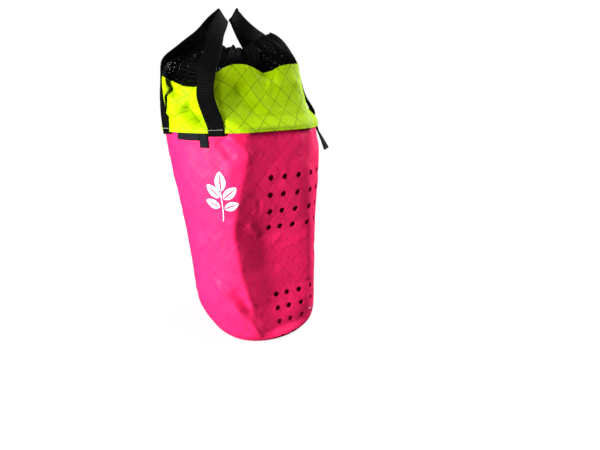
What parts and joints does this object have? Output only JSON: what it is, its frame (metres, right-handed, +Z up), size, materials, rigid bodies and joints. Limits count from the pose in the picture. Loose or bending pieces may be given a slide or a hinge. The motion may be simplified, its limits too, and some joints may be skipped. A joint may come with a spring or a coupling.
{
  "type": "canyoneering rope bag",
  "caption": "Upright soft rope bag: sailcloth tube with drain holes and a flat base, bright collar, gathered net throat and webbing grab handles.",
  "frame": {"origin": "middle of the tube's lower end, on the underside of the base panel, at ground level", "axes": "+Z up, -Y towards the front with the labels, +X towards the side with the drain holes"},
  "size_m": [0.2327, 0.2404, 0.4794],
  "materials": {
    "tube_cloth": "laminated sailcloth, satin",
    "collar_cloth": "laminated sailcloth, satin",
    "net": "knitted net, matte",
    "webbing": "ribbed woven webbing, matte",
    "label": "woven tape, matte"
  },
  "bodies": {
    "root": {"tube": "tube_cloth", "base": "tube_cloth", "collar": "collar_cloth", "net_throat": "net", "handle_front": "webbing", "handle_rear": "webbing", "side_tab": "webbing", "label_wide": "label", "label_tall": "label"}
  },
  "joints": []
}
